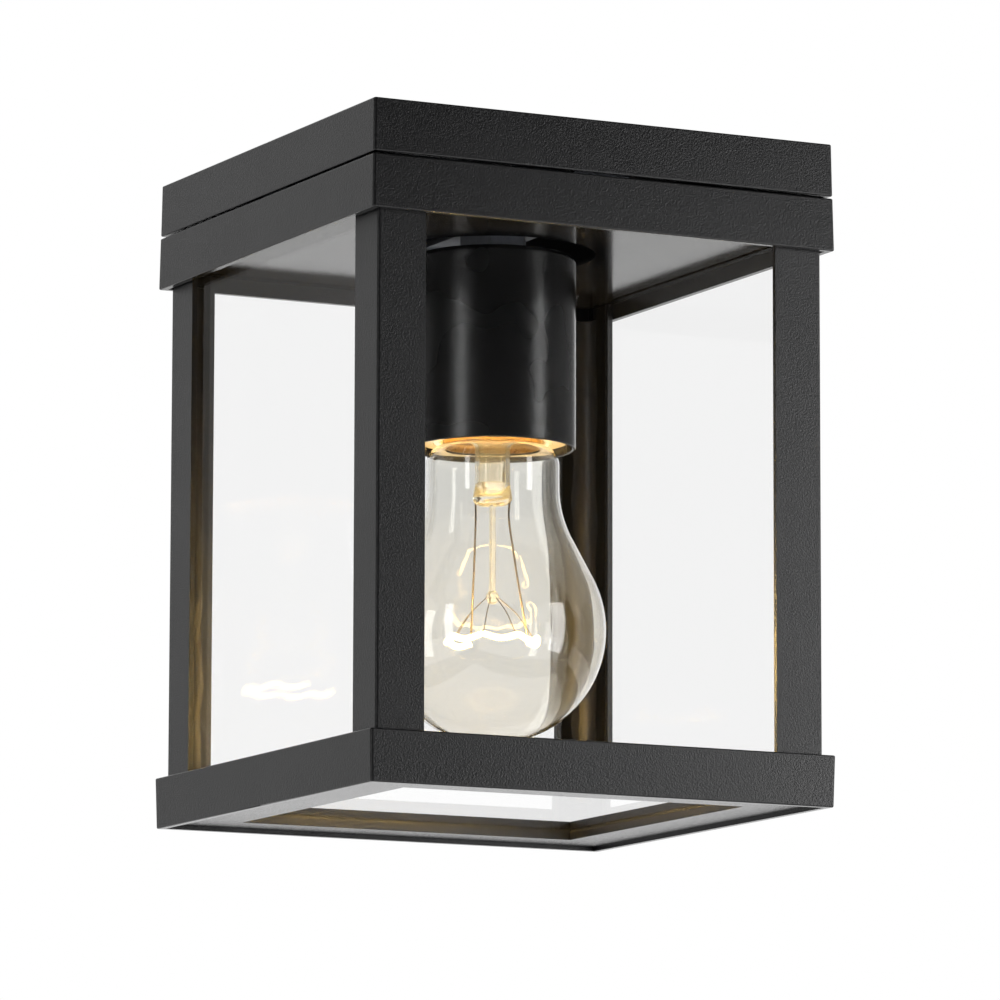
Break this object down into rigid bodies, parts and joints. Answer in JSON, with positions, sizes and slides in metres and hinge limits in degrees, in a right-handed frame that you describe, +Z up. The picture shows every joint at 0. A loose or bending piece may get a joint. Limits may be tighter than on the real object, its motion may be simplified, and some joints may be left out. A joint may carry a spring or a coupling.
{
  "type": "porch ceiling lantern",
  "caption": "Square porch ceiling lantern: a canopy carries a clear lamp in a cup, and a glazed black cage slides up over it and clamps to the canopy's ears.",
  "frame": {"origin": "centre of the canopy's top face, on the ceiling plane", "axes": "+Z up into the ceiling, the lantern hangs towards -Z; -Y is the wide face in the picture, -X the narrow face at its left"},
  "size_m": [0.1369, 0.1369, 0.176],
  "materials": {
    "black_coat": "fine textured black powder coat on steel",
    "zinc_plate": "bright zinc plate on steel",
    "black_screw": "blackened steel, satin",
    "brass": "plain brass, lightly polished",
    "grommet_rubber": "matt black rubber",
    "terminal_plastic": "off-white moulded plastic",
    "porcelain": null,
    "cap_metal": "plain brass lamp cap",
    "solder": "dull solder",
    "black_glass": null,
    "clear_envelope": "clear blown glass",
    "stem_glass": "clear drawn glass",
    "lead_wire": "bare nickel wire",
    "tungsten": null,
    "pane_glass": "clear float glass, 3 mm",
    "black_sealant": "black silicone sealant"
  },
  "bodies": {
    "canopy": {"canopy": "black_coat", "cable_grommet": "grommet_rubber", "holder_strap": "zinc_plate", "strap_screws": "zinc_plate", "earth_screw": "brass", "clamp_ears": "zinc_plate", "terminal_block": "terminal_plastic", "terminal_screws": "brass", "holder_nipple": "zinc_plate", "nipple_nuts": "zinc_plate", "cup_washer": "zinc_plate", "holder_cup": "black_coat", "lampholder_body": "porcelain", "lampholder_shell": "brass", "lampholder_tongue": "brass"},
    "lamp_carriage": {"bulb_contact": "solder"},
    "lamp": {"bulb_cap": "cap_metal", "bulb_insulator": "black_glass", "bulb_glass": "clear_envelope", "bulb_stem": "stem_glass", "bulb_leads": "lead_wire", "bulb_filament": "tungsten", "filament_hooks": "lead_wire"},
    "cage": {"head_frame": "black_coat", "clamp_screws": "black_screw", "ceiling_plate": "black_coat", "post_front_left": "black_coat", "post_front_right": "black_coat", "post_back_right": "black_coat", "post_back_left": "black_coat", "pane_front": "pane_glass", "pane_right": "pane_glass", "pane_back": "pane_glass", "pane_left": "pane_glass", "pane_sealant": "black_sealant", "corner_beads": "black_sealant", "bottom_frame": "black_coat", "bottom_gasket": "grommet_rubber"},
    "bottom_pane": {"bottom_glass": "pane_glass"}
  },
  "joints": [
    {"name": "cage_lower", "type": "slide", "parent": "canopy", "child": "cage", "axis": [0, 0, -1], "range_m": [0, 0.078]},
    {"name": "lamp_drop", "type": "slide", "parent": "canopy", "child": "lamp_carriage", "axis": [0, 0, -1], "range_m": [0, 0.0091]},
    {"name": "lamp_unscrew", "type": "hinge", "parent": "lamp_carriage", "child": "lamp", "pos_m": [0, 0, -0.1], "axis": [0, 0, -1], "range_deg": [0, 900]},
    {"name": "bottom_pane_lift", "type": "slide", "parent": "cage", "child": "bottom_pane", "axis": [0, 0, 1], "range_m": [0, 0.0035]}
  ],
  "couplings": [
    {"joint": "lamp_drop", "follows": "lamp_unscrew", "m_per_rad": 0.00057757}
  ]
}
